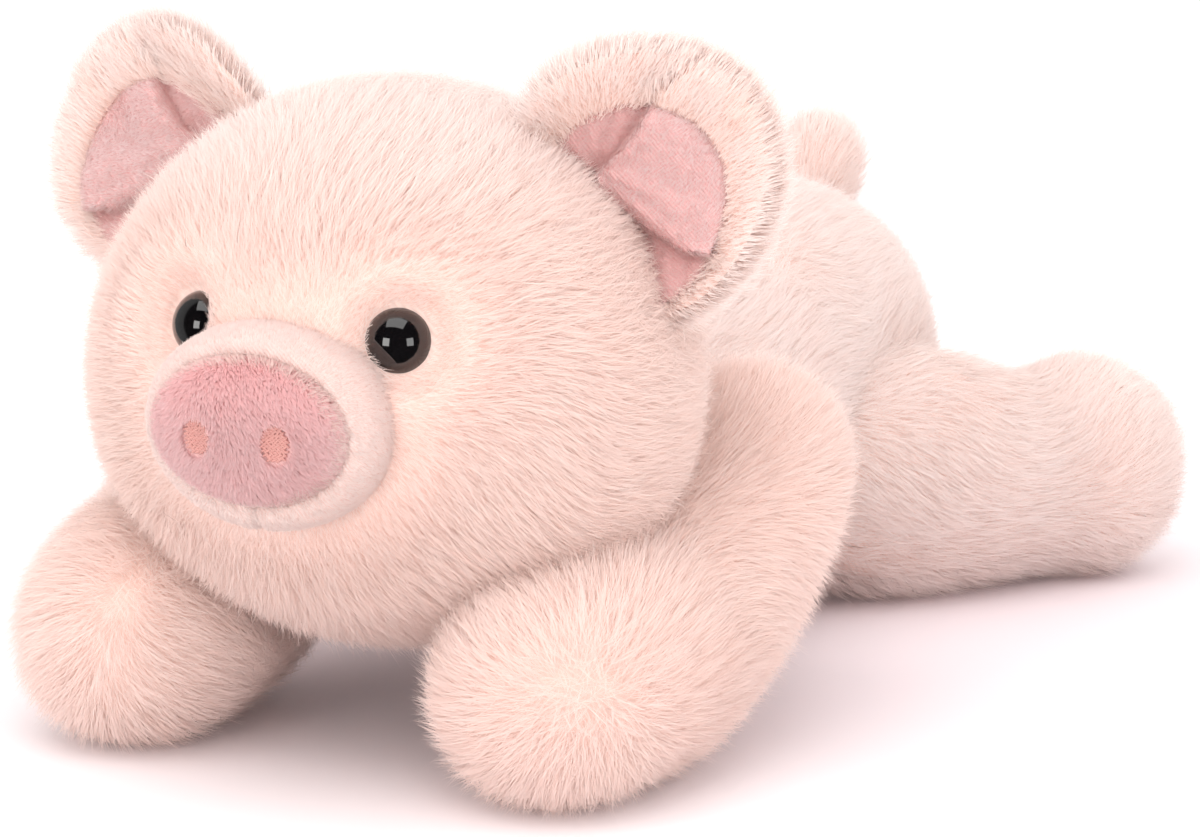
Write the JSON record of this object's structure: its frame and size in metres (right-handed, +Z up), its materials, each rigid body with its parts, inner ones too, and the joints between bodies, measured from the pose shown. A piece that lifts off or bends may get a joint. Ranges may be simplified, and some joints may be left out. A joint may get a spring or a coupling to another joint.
{
  "type": "plush pig",
  "caption": "Stuffed toy pig lying on its belly with its head up, arms forward and legs back, in long pile with a short-pile snout, lined ears and domed eyes.",
  "frame": {"origin": "on the ground under the middle of the trunk, at the mount belly_rest", "axes": "+Z up; the pig faces -Y; its own left side is +X; +Y towards the tail"},
  "size_m": [0.261, 0.3651, 0.1736],
  "materials": {
    "long_pile": "long soft peach-pink pile, 10 to 14 mm",
    "short_pile": "short pale pile round the snout",
    "pink_pile": "short dusky-pink pile",
    "ear_pile": "short pink pile, creased",
    "thread": "satin stitch in coral thread",
    "filling": "white polyester fibre filling",
    "eye_plastic": "polished black dome",
    "washer_plastic": "natural white moulded plastic"
  },
  "bodies": {
    "trunk": {"body_cover": "long_pile", "body_stuffing": "filling"},
    "neck": {"neck_stuffing": "filling"},
    "head": {"head_cover": "long_pile", "head_stuffing": "filling", "snout_band": "short_pile", "nose_pad": "pink_pile", "snout_stuffing": "filling", "nostril_left": "thread", "nostril_right": "thread", "eye_left": "eye_plastic", "eye_right": "eye_plastic", "eye_washer_left": "washer_plastic", "eye_washer_right": "washer_plastic"},
    "ear_left": {"ear_back_left": "long_pile", "ear_lining_left": "ear_pile"},
    "ear_right": {"ear_back_right": "long_pile", "ear_lining_right": "ear_pile"},
    "arm_left": {"arm_cover_left": "long_pile", "arm_stuffing_left": "filling"},
    "arm_right": {"arm_cover_right": "long_pile", "arm_stuffing_right": "filling"},
    "leg_left": {"leg_cover_left": "long_pile", "leg_stuffing_left": "filling"},
    "leg_right": {"leg_cover_right": "long_pile", "leg_stuffing_right": "filling"},
    "tail": {"tail_cover": "long_pile", "tail_stuffing": "filling"}
  },
  "joints": [
    {"name": "head_nod", "type": "hinge", "parent": "trunk", "child": "neck", "pos_m": [0, -0.096, 0.074], "axis": [-1, 0, 0], "range_deg": [0, 15]},
    {"name": "head_tilt", "type": "hinge", "parent": "neck", "child": "head", "pos_m": [0, -0.096, 0.074], "axis": [0, 1, 0], "range_deg": [-8, 8]},
    {"name": "ear_left_bend", "type": "hinge", "parent": "head", "child": "ear_left", "pos_m": [0.051, -0.149, 0.1295], "axis": [0.6561, 0, -0.7547], "range_deg": [-12, 12], "stiffness_Nm_per_rad": 0.02},
    {"name": "ear_right_bend", "type": "hinge", "parent": "head", "child": "ear_right", "pos_m": [-0.051, -0.149, 0.1295], "axis": [0.6561, 0, 0.7547], "range_deg": [-12, 12], "stiffness_Nm_per_rad": 0.02},
    {"name": "arm_left_swing", "type": "hinge", "parent": "trunk", "child": "arm_left", "pos_m": [0.052, -0.088, 0.03], "axis": [0, 0, 1], "range_deg": [0, 35]},
    {"name": "arm_right_swing", "type": "hinge", "parent": "trunk", "child": "arm_right", "pos_m": [-0.052, -0.088, 0.03], "axis": [0, 0, -1], "range_deg": [0, 35]},
    {"name": "leg_left_swing", "type": "hinge", "parent": "trunk", "child": "leg_left", "pos_m": [0.056, 0.016, 0.03], "axis": [0, 0, -1], "range_deg": [-12, 20]},
    {"name": "leg_right_swing", "type": "hinge", "parent": "trunk", "child": "leg_right", "pos_m": [-0.056, 0.016, 0.03], "axis": [0, 0, 1], "range_deg": [-12, 20]},
    {"name": "tail_wag", "type": "hinge", "parent": "trunk", "child": "tail", "pos_m": [0, 0.106, 0.093], "axis": [0, 0.8192, -0.5736], "range_deg": [-20, 20], "stiffness_Nm_per_rad": 0.01}
  ]
}
